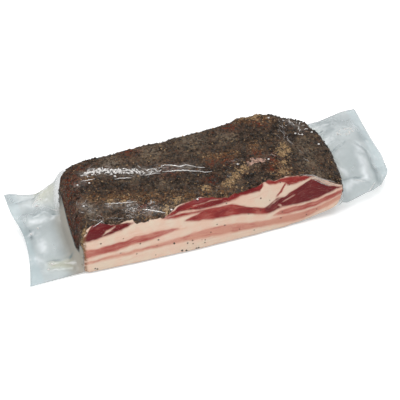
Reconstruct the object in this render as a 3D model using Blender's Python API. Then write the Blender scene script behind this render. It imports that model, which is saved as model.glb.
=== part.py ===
"""Vacuum pack of a peppered slab of cured pork, modelled as one closed solid out to the film's outer face.

The clear bag is a tube of film, sealed at both ends and sucked tight onto the slab. So the solid is one loft: a run
of rings round the X axis, that starts as a flat lens at the left seal, opens up over the left end of the slab, follows
the slab's own section, and closes again to the right seal.

Every ring starts at the front foot of the slab, where the front edge of the flat ends comes in, and its half way point
is the back top edge of the slab, where the higher back edge of the flat ends comes in.

While it is being shaped, X runs along the slab from its left end, Y from the cut front face to the back, and Z up from
the face it rests on. The finished solid is moved so that the origin is below the middle of the whole pack.
"""

import math

import bmesh
import bpy
from mathutils import Vector, noise

# Slab, in metres.
SLAB_LENGTH = 0.270
SLAB_DEPTH = 0.111
HEIGHT_LEFT = 0.057
HEIGHT_RIGHT = 0.063
CROWN = 0.0015
FRONT_BOW = 0.0036
FILM_OVER_CUT = 0.0012

# The right third thins out to a tip: its rind curls up and its crust droops, most of all in front.
REST_LENGTH = 0.205
TIP_LIFT = 0.009
TIP_DROOP_FRONT = 0.020
TIP_DROOP_BACK = 0.004

# A shoulder swells the back edge before it falls away to the right corner. The left corner falls away too.
SHOULDER_X = 0.212
SHOULDER_REACH = 0.023
SHOULDER_SWELL = 0.003
CORNER_LENGTH = 0.038
RIGHT_CORNER = 0.013
LEFT_CORNER = 0.010
LEFT_SLOPE_LENGTH = 0.030
LEFT_SLOPE_FRONT = 0.003
LEFT_SLOPE_BACK = 0.006

# Radii of the slab's long edges under the film. The cut runs through the front face, so its foot is sharp.
FRONT_FOOT_RADIUS = 0.0015
FRONT_TOP_RADIUS = 0.007
ROLLED_TOP_RADIUS = 0.015
BACK_TOP_RADIUS = 0.012
BACK_FOOT_RADIUS = 0.012
END_RADIUS = 0.006
STRETCHED_SHARE = 0.3

# Relief of the peppered crust that shows through the film.
CRAG_HEIGHT = 0.0016
CRAG_SIZE = 0.021
LUMP_HEIGHT = 0.0012
LUMP_SIZE = 0.0095
RELIEF_SEED = Vector((3.1, 7.7, 1.9))

# Free ends of the bag.
SEAL_THICKNESS = 0.0014
SEAL_BAND = 0.009
LEFT_REACH = 0.049
RIGHT_REACH = 0.070
FILM_SLOPE = 0.009
BACK_WEB_SLOPE = 0.020
ROOT_THICKNESS = 0.008
FOLD_AT_ROOT = 0.20

# Rings and points of the loft.
POINTS_ON_FRONT = 10
POINTS_ON_TOP = 18
HALF_RING = POINTS_ON_FRONT + POINTS_ON_TOP
SLAB_RINGS = 46
WALL_RINGS = 7
LEFT_TAIL_RINGS = 11
RIGHT_TAIL_RINGS = 15

BAG_COLOUR = (0.36, 0.22, 0.16, 1.0)
BAG_ROUGHNESS = 0.25


def ramp(value, low, high):
    """Smooth step from 0 at low to 1 at high."""
    t = min(1.0, max(0.0, (value - low) / (high - low)))
    return t * t * (3.0 - 2.0 * t)


def past(value, start, end):
    """Straight run from 0 at start to 1 at end, level outside."""
    return min(1.0, max(0.0, (value - start) / (end - start)))


def hump(value, middle, half_width):
    """Bell curve of height 1."""
    return math.exp(-(((value - middle) / half_width) ** 2))


def mix(a, b, share):
    return a + (b - a) * share


# Slab under the film


def front_face(x):
    """Y of the cut face, which bows towards the viewer."""
    return -FILM_OVER_CUT - FRONT_BOW * math.sin(math.pi * past(x, -0.01, 0.9 * SLAB_LENGTH))


def back_face(x):
    """Y of the back face, which falls away to both ends."""
    shoulder = SHOULDER_SWELL * hump(x, SHOULDER_X, SHOULDER_REACH)
    right_corner = RIGHT_CORNER * ramp(x, SLAB_LENGTH - CORNER_LENGTH, SLAB_LENGTH + 0.006)
    left_corner = LEFT_CORNER * (1.0 - ramp(x, -0.010, CORNER_LENGTH))
    return SLAB_DEPTH + shoulder - right_corner - left_corner


def top_face(x, across):
    """Z of the crust, where across runs from 0 at the front to 1 at the back."""
    height = mix(HEIGHT_LEFT, HEIGHT_RIGHT, ramp(x, 0.04, 0.19))
    crown = CROWN * (1.0 - (2.0 * across - 1.0) ** 2)
    droop = mix(TIP_DROOP_FRONT, TIP_DROOP_BACK, across) * past(x, REST_LENGTH, SLAB_LENGTH) ** 2
    shoulder = SHOULDER_SWELL * hump(x, SHOULDER_X, SHOULDER_REACH) * hump(across, 0.95, 0.25)
    left_slope = mix(LEFT_SLOPE_FRONT, LEFT_SLOPE_BACK, across) * past(x, LEFT_SLOPE_LENGTH, 0.0) ** 2
    return height + crown + shoulder - droop - left_slope


def bottom_face(x):
    """Z of the rind: flat where the pack rests, and curling up at the thin right end."""
    return TIP_LIFT * past(x, REST_LENGTH, SLAB_LENGTH) ** 2


def front_top_radius(x):
    """The crust is rolled over the front edge in the left half only."""
    return mix(FRONT_TOP_RADIUS, ROLLED_TOP_RADIUS, hump(x, 0.062, 0.034))


def end_inset(x):
    """How far the top is drawn in where the ends of the slab are rounded over. The foot and the back top edge, from
    which the film is stretched out to the edges of the flat ends, keep a share of it."""
    from_end = min(x, SLAB_LENGTH - x, END_RADIUS)
    return END_RADIUS - math.sqrt(END_RADIUS**2 - (END_RADIUS - from_end) ** 2)


def spaced(share):
    """Share of a side, drawn half way towards its two ends, where the corners need more points."""
    return 0.5 * share + 0.25 * (1.0 - math.cos(math.pi * share))


def box_point(step):
    """(across, up) of ring point number step on a unit square: up the front from its foot, over the top, down the back
    and home along the rind."""
    if step <= POINTS_ON_FRONT:
        return 0.0, spaced(step / POINTS_ON_FRONT)
    if step <= HALF_RING:
        return spaced((step - POINTS_ON_FRONT) / POINTS_ON_TOP), 1.0
    across, up = box_point(step - HALF_RING)
    return 1.0 - across, 1.0 - up


def rounded(y, z, corner_y, corner_z, radius):
    """Moves a point that lies within radius of a square corner onto the corner's arc."""
    centre_y = corner_y + math.copysign(radius, SLAB_DEPTH / 2 - corner_y)
    centre_z = corner_z + math.copysign(radius, HEIGHT_LEFT / 2 - corner_z)
    in_y = (y - centre_y) * (corner_y - centre_y) > 0.0
    in_z = (z - centre_z) * (corner_z - centre_z) > 0.0
    if not (in_y and in_z):
        return y, z
    reach = math.hypot(y - centre_y, z - centre_z)
    return centre_y + (y - centre_y) * radius / reach, centre_z + (z - centre_z) * radius / reach


def slab_point(x, step):
    """Ring point of the smooth slab at x."""
    across, up = box_point(step)
    inset = end_inset(x)
    stretched = STRETCHED_SHARE * inset
    front, back = front_face(x) + stretched, back_face(x) - stretched
    foot = bottom_face(x) + stretched
    front_head = top_face(x, 0.0) - inset
    back_head = top_face(x, 1.0) - stretched
    head = top_face(x, across) - mix(inset, stretched, across**4)
    y, z = mix(front, back, across), mix(foot, head, up)
    y, z = rounded(y, z, front, foot, FRONT_FOOT_RADIUS)
    y, z = rounded(y, z, back, foot, BACK_FOOT_RADIUS)
    y, z = rounded(y, z, front, front_head, front_top_radius(x))
    y, z = rounded(y, z, back, back_head, BACK_TOP_RADIUS)
    return Vector((x, y, z))


def crust_relief(point, across, up):
    """Height of the crags and pepper lumps, on the top and the upper back, fading out towards the cut and the foot."""
    on_crust = ramp(across, 0.0, 0.12) * ramp(up, 0.35, 0.9)
    crags = CRAG_HEIGHT * noise.fractal(point / CRAG_SIZE + RELIEF_SEED, 1.0, 2.0, 3)
    lumps = LUMP_HEIGHT * noise.noise(point / LUMP_SIZE + RELIEF_SEED)
    return on_crust * (crags + lumps)


def slab_ring(x):
    """The slab's section at x, with the relief pushed out from its middle."""
    ring = []
    middle = Vector((x, SLAB_DEPTH / 2, HEIGHT_LEFT / 4))
    for step in range(2 * HALF_RING):
        point = slab_point(x, step)
        across, up = box_point(step)
        outward = (point - middle).normalized()
        ring.append(point + outward * crust_relief(point, across, up))
    return ring


def slab_rings():
    """Rings along the slab, closer together where its ends are rounded over."""
    rings = []
    for number in range(SLAB_RINGS + 1):
        share = number / SLAB_RINGS
        along = 0.85 * share + 0.075 * (1.0 - math.cos(math.pi * share))
        rings.append(slab_ring(SLAB_LENGTH * along))
    return rings


# Free ends of the bag


def root_slope(across, back_slope):
    """How far beyond the slab the film is flat: a short way in front, and further where it webs out to the back edge."""
    return mix(FILM_SLOPE, back_slope, ramp(across, 0.70, 1.0))


def left_outline(out, across):
    """(x, y) of the left end, where out runs from 0 at the slab to 1 at the seal."""
    root = root_slope(across, BACK_WEB_SLOPE)
    waist = 0.006 * math.sin(math.pi * across)
    flare = 0.005 * (1.0 - across) ** 3
    x = -mix(root, LEFT_REACH - waist + flare, out)
    front = mix(0.0005, -0.001, out)
    back = mix(0.105, 0.110, ramp(out, 0.4, 1.0))
    return x, mix(front, back, across)


def left_lie(out, across):
    """Z of the left end's middle layer: the front edge lies on the table, and the back edge stands higher."""
    at_root = 0.0016 + 0.0330 * across**0.8
    at_seal = 0.0012 + 0.0280 * across**1.25
    ridge = 0.0035 * hump(across, 0.84, 0.07) * (1.0 - out) ** 0.7
    valley = 0.0040 * hump(across, 0.66, 0.08) * math.sin(math.pi * min(1.0, 0.25 + out * 0.75))
    gusset = 0.0030 * hump(across, 0.16, 0.06) * (1.0 - out)
    belly = 0.0030 * hump(across, 0.40, 0.16) * math.sin(math.pi * out)
    return mix(at_root, at_seal, out) + ridge - valley + gusset + belly


def right_outline(out, across):
    """(x, y) of the right end, whose front corner is folded short."""
    root = root_slope(across, 0.6 * BACK_WEB_SLOPE)
    folded_corner = 0.018 * (1.0 - ramp(across, 0.0, 0.24))
    x = SLAB_LENGTH + mix(root, RIGHT_REACH - folded_corner, out)
    front = mix(0.002, 0.007, out)
    back = mix(0.106, 0.119, ramp(out, 0.0, 0.9))
    return x, mix(front, back, across)


def right_lie(out, across):
    """Z of the right end's middle layer."""
    at_root = mix(0.0085, 0.038, across**0.9)
    at_seal = mix(0.013, 0.034, across**1.2)
    peak = 0.0060 * hump(across, 0.50, 0.16) * math.sin(math.pi * out) ** 1.5
    crease = 0.0030 * hump(across, 0.30, 0.07) * ramp(out, 0.15, 0.7)
    rib = 0.0025 * hump(across, 0.84, 0.05) * (1.0 - out)
    return mix(at_root, at_seal, out) + peak - crease + rib


def layer_share(step, out):
    """Share of a flat end's width at which ring point number step lies. The film off the slab's two upright sides takes
    a fold at the edges, which widens towards the seal until both layers have their points one above the other."""
    if step > HALF_RING:
        return 1.0 - layer_share(step - HALF_RING, out)
    fold = mix(FOLD_AT_ROOT, POINTS_ON_FRONT / HALF_RING, out)
    if step <= POINTS_ON_FRONT:
        return fold * step / POINTS_ON_FRONT
    return fold + (1.0 - fold) * (step - POINTS_ON_FRONT) / POINTS_ON_TOP


def tail_ring(outline, lie, out):
    """Ring of a flat end: the first half of its points is the upper layer, the second half the lower one."""
    ring = []
    for step in range(2 * HALF_RING):
        across = layer_share(step, out)
        x, y = outline(out, across)
        swell = ROOT_THICKNESS * max(0.0, 1.0 - 1.7 * out) ** 2 * math.sin(math.pi * across) ** 0.5
        side = 0.0 if step in (0, HALF_RING) else math.copysign(0.5, HALF_RING - step)
        ring.append(Vector((x, y, lie(out, across) + side * (SEAL_THICKNESS + swell))))
    return ring


def tail_rings(outline, lie, reach, count):
    """Rings from the slab out to the seal. The last two bound the flat seal band."""
    band_start = 1.0 - SEAL_BAND / reach
    shares = [band_start * number / (count - 1) for number in range(count)] + [1.0]
    return [tail_ring(outline, lie, out) for out in shares]


def wall_rings(slab_end, root):
    """Rings over one end of the slab. The film hugs the end face before it runs out into the flat end, except at the
    back, where it spans straight across as a web."""
    rings = []
    for number in range(1, WALL_RINGS):
        share = number / WALL_RINGS
        ring = []
        for step, (slab_side, tail_side) in enumerate(zip(slab_end, root)):
            hug = mix(2.4, 1.1, ramp(layer_share(step, 0.0), 0.7, 1.0))
            point = slab_side.lerp(tail_side, share)
            point.x = mix(slab_side.x, tail_side.x, share**hug)
            ring.append(point)
        rings.append(ring)
    return rings


# Building


def clear_scene():
    for item in list(bpy.data.objects):
        bpy.data.objects.remove(item)


def seal_end(bm, ring, outward):
    """Closes the mouth of the tube with a strip between its two layers."""
    for step in range(HALF_RING):
        corners = []
        for vertex in (ring[step], ring[step + 1], ring[-step - 1], ring[-step]):
            if vertex not in corners:
                corners.append(vertex)
        bm.faces.new(corners if outward else corners[::-1])


def loft(name, rings):
    """One closed mesh through all the rings."""
    bm = bmesh.new()
    loops = [[bm.verts.new(point) for point in ring] for ring in rings]
    for near, far in zip(loops, loops[1:]):
        for step in range(2 * HALF_RING):
            following = (step + 1) % (2 * HALF_RING)
            bm.faces.new((near[step], near[following], far[following], far[step]))
    seal_end(bm, loops[0], True)
    seal_end(bm, loops[-1], False)
    bmesh.ops.recalc_face_normals(bm, faces=bm.faces)
    mesh = bpy.data.meshes.new(name)
    bm.to_mesh(mesh)
    bm.free()
    mesh.shade_smooth()
    return bpy.data.objects.new(name, mesh)


def stand_on_origin(item):
    """Moves the mesh so that the origin is below the middle of the pack, on the plane it rests on."""
    corners = [Vector(corner) for corner in item.bound_box]
    low = Vector([min(corner[axis] for corner in corners) for axis in range(3)])
    high = Vector([max(corner[axis] for corner in corners) for axis in range(3)])
    middle = (low + high) / 2
    for vertex in item.data.vertices:
        vertex.co -= Vector((middle.x, middle.y, low.z))


def film_material():
    material = bpy.data.materials.new("packed_pork")
    material.use_nodes = True
    shader = material.node_tree.nodes["Principled BSDF"]
    shader.inputs["Base Color"].default_value = BAG_COLOUR
    shader.inputs["Roughness"].default_value = BAG_ROUGHNESS
    return material


def main():
    clear_scene()
    collection = bpy.data.collections.new("vacuum_packed_guanciale")
    bpy.context.scene.collection.children.link(collection)

    slab = slab_rings()
    left_tail = tail_rings(left_outline, left_lie, LEFT_REACH, LEFT_TAIL_RINGS)
    right_tail = tail_rings(right_outline, right_lie, RIGHT_REACH, RIGHT_TAIL_RINGS)
    left_wall = wall_rings(slab[0], left_tail[0])
    right_wall = wall_rings(slab[-1], right_tail[0])
    rings = left_tail[::-1] + left_wall[::-1] + slab + right_wall + right_tail

    pack = loft("vacuum_pack", rings)
    collection.objects.link(pack)
    bpy.context.view_layer.update()
    stand_on_origin(pack)
    pack.data.materials.append(film_material())


main()
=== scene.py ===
# %% [markdown]
# A vacuum pack of peppered pork.
#
# The real thing is a slab of cured pork, rubbed with cracked pepper and cut through once, so that its long front face
# shows bands of fat and lean. It lies in clear film, sealed at both ends and sucked tight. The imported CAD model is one
# closed solid out to the film. This lesson puts three kinds of piece in its place: the meat, the loose pepper grains
# on it, and the film over them.

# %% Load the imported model
import math

import bpy
import numpy as np
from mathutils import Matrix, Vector, noise
from mathutils.bvhtree import BVHTree


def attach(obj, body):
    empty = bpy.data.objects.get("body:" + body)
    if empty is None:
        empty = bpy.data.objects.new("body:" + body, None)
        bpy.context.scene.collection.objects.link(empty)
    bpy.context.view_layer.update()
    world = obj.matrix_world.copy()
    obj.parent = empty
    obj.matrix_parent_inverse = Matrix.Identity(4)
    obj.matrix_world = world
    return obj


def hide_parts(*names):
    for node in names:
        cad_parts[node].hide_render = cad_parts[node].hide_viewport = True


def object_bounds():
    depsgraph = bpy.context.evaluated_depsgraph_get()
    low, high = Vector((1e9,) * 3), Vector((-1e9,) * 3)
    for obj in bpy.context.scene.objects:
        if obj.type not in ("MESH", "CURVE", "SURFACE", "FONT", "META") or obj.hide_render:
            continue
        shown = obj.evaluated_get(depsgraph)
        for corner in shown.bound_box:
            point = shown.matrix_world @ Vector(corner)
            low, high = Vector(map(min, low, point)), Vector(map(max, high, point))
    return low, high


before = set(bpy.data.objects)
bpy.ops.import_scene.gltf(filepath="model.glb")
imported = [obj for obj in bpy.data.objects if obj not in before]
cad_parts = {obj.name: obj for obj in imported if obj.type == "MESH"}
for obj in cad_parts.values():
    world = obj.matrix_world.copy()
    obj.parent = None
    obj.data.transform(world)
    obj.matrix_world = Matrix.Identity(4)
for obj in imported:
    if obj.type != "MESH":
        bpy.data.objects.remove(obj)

CAD_LOW, CAD_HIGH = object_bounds()
print("CAD box, mm:", [round(1000 * side, 1) for side in CAD_HIGH - CAD_LOW])

# %% [markdown]
# Measures on a slab are easiest to think of from one of its corners, in millimetres: x along it from its left end, y
# away from the cut face and z up. The film reaches 54 mm past the left end of the slab, and the cut face bows out
# 4.8 mm towards us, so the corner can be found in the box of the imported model.

# %% Find the slab's corner in the model
MM = 0.001
LEFT_END = 54.0
FRONT_BOW = 4.8
SLAB_LENGTH = 270.0
SLAB_DEPTH = 111.0
CORNER = np.array((CAD_LOW.x + LEFT_END * MM, CAD_LOW.y + FRONT_BOW * MM, CAD_LOW.z))


def on_slab(x, y, z):
    """A place on the slab, in millimetres, as a point of the model."""
    return Vector(CORNER) + Vector((x, y, z)) * MM


print("slab corner:", [round(value, 4) for value in CORNER])

# %% [markdown]
# The camera comes first, because every later choice is judged through it. The picture was taken from in front, a
# little from the left and well above, with a long lens, which keeps the edges of the slab nearly parallel.

# %% Camera
VIEW_TURN = math.radians(20)
VIEW_TILT = math.radians(39)
CAMERA_DISTANCE = 1.5
LOOKED_AT = on_slab(132.6, 34.2, 30.0)

forward = Vector((
    math.sin(VIEW_TURN) * math.cos(VIEW_TILT),
    math.cos(VIEW_TURN) * math.cos(VIEW_TILT),
    -math.sin(VIEW_TILT),
))
camera = bpy.data.objects.new("camera", bpy.data.cameras.new("camera"))
bpy.context.scene.collection.objects.link(camera)
camera.data.lens = 135
camera.location = LOOKED_AT - CAMERA_DISTANCE * forward
camera.rotation_euler = forward.to_track_quat("-Z", "Y").to_euler()
bpy.context.scene.camera = camera
print("camera at", [round(value, 3) for value in camera.location])

# %% [markdown]
# The studio is a pale table under three lamps: a wide soft one overhead, a fill from the left front for the cut face,
# and a slim strip high up behind. The strip is what the creases of the film mirror back as thin white lines.

# %% Studio
bpy.context.scene.view_settings.view_transform = "Standard"


def area_lamp(name, place, aim, size, power):
    lamp = bpy.data.objects.new(name, bpy.data.lights.new(name, "AREA"))
    bpy.context.scene.collection.objects.link(lamp)
    lamp.data.shape = "RECTANGLE"
    lamp.data.size, lamp.data.size_y = size
    lamp.data.energy = power
    lamp.location = place
    lamp.rotation_euler = (Vector(aim) - Vector(place)).to_track_quat("-Z", "Y").to_euler()


area_lamp("overhead", (-0.15, -0.25, 1.5), (0, 0, 0), (1.1, 1.1), 16)
area_lamp("glint_strip", (0.25, 0.68, 1.42), (0, 0, 0.04), (0.7, 0.12), 6)
area_lamp("front_fill", (-0.7, -1.5, 0.8), (0, 0, 0.03), (1.0, 0.7), 9.5)

world = bpy.data.worlds.new("studio")
bpy.context.scene.world = world
world.use_nodes = True
world.node_tree.nodes["Background"].inputs["Color"].default_value = (0.96, 0.98, 1.0, 1.0)
world.node_tree.nodes["Background"].inputs["Strength"].default_value = 0.32

bpy.ops.mesh.primitive_plane_add(size=8, location=(0, 0, -0.0004))
table = bpy.context.object
table.name = "table"

# %% [markdown]
# Most finishes are built from the same few shader nodes, so short helpers save a lot of typing. They add their nodes
# to the node tree that was opened last. Inputs can be plain values or the output of another node.

# %% Shader helpers


def open_tree(tree):
    """Makes one node tree the one that the helpers add nodes to."""
    global open_nodes
    open_nodes = tree.nodes


def start_material(name):
    """Opens a new material, and hands it back with its Principled shader."""
    material = bpy.data.materials.new(name)
    material.use_nodes = True
    open_tree(material.node_tree)
    return material, open_nodes["Principled BSDF"]


def fill_inputs(made, inputs):
    """Sets or links the inputs of a node. Inputs is a dict of socket name or number to a value or another's output."""
    for name, value in dict(inputs).items():
        socket = made.inputs[name]
        if isinstance(value, bpy.types.NodeSocket):
            made.id_data.links.new(value, socket)
        elif socket.type == "RGBA" and len(value) == 3:
            socket.default_value = (*value, 1.0)
        else:
            socket.default_value = value


def add_node(kind, inputs=(), **settings):
    made = open_nodes.new(kind)
    for name, value in settings.items():
        setattr(made, name, value)
    fill_inputs(made, inputs)
    return made


def math_node(operation, first, second, third=0.0):
    return add_node("ShaderNodeMath", {0: first, 1: second, 2: third}, operation=operation).outputs[0]


def times(first, second):
    return math_node("MULTIPLY", first, second)


def times_add(first, second, third):
    return math_node("MULTIPLY_ADD", first, second, third)


def step(value, low, high):
    """0 below low and 1 above high, with a smooth slope between them. Low may be above high."""
    inputs = {"Value": value, "From Min": low, "From Max": high}
    return add_node("ShaderNodeMapRange", inputs, interpolation_type="SMOOTHSTEP").outputs["Result"]


def mix(share, first, second):
    """Blends two colours."""
    return add_node("ShaderNodeMix", {0: share, 6: first, 7: second}, data_type="RGBA").outputs[2]


def colour_ramp(value, stops, stepped=False):
    """Stops is a list of (position, colour)."""
    made = add_node("ShaderNodeValToRGB", {"Fac": value})
    ramp = made.color_ramp
    ramp.interpolation = "CONSTANT" if stepped else "LINEAR"
    for number, (position, colour) in enumerate(stops):
        element = ramp.elements[number] if number < 2 else ramp.elements.new(position)
        element.position, element.color = position, (*colour, 1.0)
    return made.outputs["Color"]


def attribute(name):
    return add_node("ShaderNodeAttribute", attribute_name=name).outputs["Fac"]


def place_in_mm():
    where = add_node("ShaderNodeTexCoord").outputs["Object"]
    return add_node("ShaderNodeMapping", {"Vector": where, "Scale": (1000, 1000, 1000)}).outputs["Vector"]


def cloud(where, size, detail=2.0, roughness=0.5):
    """Noise with patches of the given size in millimetres."""
    inputs = {"Vector": where, "Scale": 1.0 / size, "Detail": detail, "Roughness": roughness}
    return add_node("ShaderNodeTexNoise", inputs).outputs["Fac"]


def bump(height, strength, depth):
    """Depth is in millimetres."""
    inputs = {"Height": height, "Strength": strength, "Distance": depth * MM}
    return add_node("ShaderNodeBump", inputs).outputs["Normal"]


table_paint, shader = start_material("table_paint")
fill_inputs(shader, {
    "Base Color": mix(cloud(place_in_mm(), 40.0), (0.90, 0.90, 0.895), (0.93, 0.93, 0.93)),
    "Roughness": 0.7,
    "Emission Color": (1.0, 1.0, 1.0),
    "Emission Strength": 0.30,
})
table.data.materials.append(table_paint)

# %% [markdown]
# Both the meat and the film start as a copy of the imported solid, so they are sure to fit it. A CAD node comes in as
# loose triangles. The copy is welded and its triangles are paired into four-sided faces, which divide evenly later.

# %% Hand tools


def pick(item):
    """Makes one object the only one selected, and the active one."""
    bpy.ops.object.select_all(action="DESELECT")
    item.select_set(True)
    bpy.context.view_layer.objects.active = item


def open_for_editing(item):
    pick(item)
    bpy.ops.object.mode_set(mode="EDIT")
    bpy.ops.mesh.select_all(action="SELECT")


def close_editing():
    bpy.ops.object.mode_set(mode="OBJECT")


def apply_modifiers(item):
    pick(item)
    for modifier in list(item.modifiers):
        bpy.ops.object.modifier_apply(modifier=modifier.name)


def welded_copy(name):
    """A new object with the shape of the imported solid, in one welded skin."""
    made = bpy.data.objects.new(name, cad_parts["vacuum_pack"].data.copy())
    bpy.context.scene.collection.objects.link(made)
    made.data.materials.clear()
    open_for_editing(made)
    bpy.ops.mesh.remove_doubles(threshold=1e-6)
    bpy.ops.mesh.tris_convert_to_quads(face_threshold=math.radians(50), shape_threshold=math.radians(60))
    close_editing()
    return made


def read_mm(item):
    """The points of a mesh as an array, in slab millimetres."""
    points = np.empty(3 * len(item.data.vertices))
    item.data.vertices.foreach_get("co", points)
    return (points.reshape(-1, 3) - CORNER) / MM


def write_mm(item, points):
    item.data.vertices.foreach_set("co", (points * MM + CORNER).ravel())
    item.data.update()


def read_normals(item):
    normals = np.empty(3 * len(item.data.vertices))
    item.data.vertices.foreach_get("normal", normals)
    return normals.reshape(-1, 3)


def set_vertex_values(item, **layers):
    for name, values in layers.items():
        layer = item.data.attributes.new(name, "FLOAT", "POINT")
        layer.data.foreach_set("value", np.asarray(values, np.float32))


def rough_noise(points, size, seed, octaves=1):
    """Smooth random heights from about -1 to 1, with bumps of the given size in millimetres."""
    heights = np.empty(len(points))
    for number, point in enumerate(points):
        place = Vector(point) / size + Vector((seed, 1.7 * seed, 0.3))
        heights[number] = noise.fractal(place, 0.9, 2.0, octaves) if octaves > 1 else noise.noise(place)
    return heights


def rise(values, low, high):
    """Smooth step of an array from 0 at low to 1 at high."""
    share = np.clip((values - low) / (high - low), 0.0, 1.0)
    return share * share * (3.0 - 2.0 * share)


def spots(points, patches):
    """The strongest of a list of soft round spots at each point, each given by its middle and reach."""
    px, py = points[:, 0], points[:, 1]
    return np.max([np.exp(-((px - x) ** 2 + (py - y) ** 2) / reach**2) for x, y, reach in patches], axis=0)


# %% [markdown]
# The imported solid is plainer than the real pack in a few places. Meat and film are shaped further there by the same
# rule, so that they still fit each other. The right end bows out in its middle and its foot curls up, the back edge of
# the top is a little higher, and behind the left end the film drops to the table.

# %% Shape that meat and film share
RIGHT_END_OUT = [(-5, 4.5), (10, 6), (25, 8), (45, 10), (65, 8), (80, 2), (95, -4), (111, -8)]
FOOT_UP, BACK_EDGE_UP, LEFT_FILM_DOWN = 2.0, 0.5, 7.0


def settle(points):
    """Moves points, in slab millimetres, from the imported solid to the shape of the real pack."""
    x, y, z = points.T
    near_right_end = rise(x, 225, 268) * (1.0 - rise(x, 274, 296))
    foot_share = near_right_end * (1.0 - rise(y, 0, 60)) * (1.0 - rise(z, 4, 42))
    behind_left_end = np.exp(-(((x + 16.0) / 14.0) ** 2)) * rise(y, 52, 88)
    back_edge = rise(y, 60, 104) * rise(x, 30, 80) * (1.0 - rise(x, 188, 206))
    moved = points.copy()
    moved[:, 0] += near_right_end * np.interp(y, *np.array(RIGHT_END_OUT, float).T)
    upper_lift = BACK_EDGE_UP * back_edge - LEFT_FILM_DOWN * behind_left_end
    moved[:, 2] += FOOT_UP * foot_share + upper_lift * np.clip(z / 40.0, 0.0, 1.0)
    return moved


# %% [markdown]
# The meat. Its ends are sawn off square with bisect, where the bag runs on. The film spans across the well rounded
# back left corner and right foot, so more bisects trim those along a circle. A voxel remesh turns the block into even
# faces of about a millimetre, fine enough for the crust, and a little smoothing takes the saw marks off the edges.

# %% Cut the slab out of the pack
UNDER_FILM = 0.7
LEFT_CUT, RIGHT_CUT = -3.2, 271.4
ROUND_CORNER = 43.0
ROUND_FOOT = 20.0
MEAT_VOXEL = 1.15

pork = welded_copy("peppered_pork")


def saw(item, place, direction):
    """Cuts a piece with a plane and throws away the side that direction points to."""
    open_for_editing(item)
    bpy.ops.mesh.bisect(plane_co=place, plane_no=direction, use_fill=True, clear_outer=True)
    close_editing()


saw(pork, on_slab(LEFT_CUT, 0, 0), (-1, 0, 0))
saw(pork, on_slab(RIGHT_CUT, 0, 0), (1, 0, 0))
corner_centre = Vector((LEFT_CUT + ROUND_CORNER, SLAB_DEPTH - 2.0 - ROUND_CORNER, 0.0))
for degrees in (15, 30, 45, 60, 75):
    outward = Vector((-math.sin(math.radians(degrees)), math.cos(math.radians(degrees)), 0.0))
    saw(pork, on_slab(*(corner_centre + ROUND_CORNER * outward)), outward)
foot_centre = Vector((249.0, 0.0, 24.5))
for degrees in (18, 36, 54, 72):
    outward = Vector((math.sin(math.radians(degrees)), 0.0, -math.cos(math.radians(degrees))))
    saw(pork, on_slab(*(foot_centre + ROUND_FOOT * outward)), outward)

open_for_editing(pork)
bpy.ops.transform.shrink_fatten(value=-UNDER_FILM * MM)
close_editing()
remesh = pork.modifiers.new("even faces", "REMESH")
remesh.mode = "VOXEL"
remesh.voxel_size = MEAT_VOXEL * MM
soften = pork.modifiers.new("soften", "SMOOTH")
soften.iterations = 3
apply_modifiers(pork)
write_mm(pork, settle(read_mm(pork)))
pork_points = read_mm(pork)
pork_normals = read_normals(pork)
print("meat:", len(pork.data.polygons), "faces, box", pork_points.min(0).round(1), pork_points.max(0).round(1))

# %% [markdown]
# The bands on the cut face. Lean is drawn as a few long strips, each a list of (x, upper z, lower z) in millimetres.
# All that is left between them is fat, and a few thin streaks of fat run through the lean again. The cut rolls over
# the top edge of the slab, so a point that lies further back counts as higher. Each vertex gets its depth inside the
# nearest strip, so that the shader can draw a crisp edge between two vertices, and its height above the strip's
# middle, so that the grain follows the strip.

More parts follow.
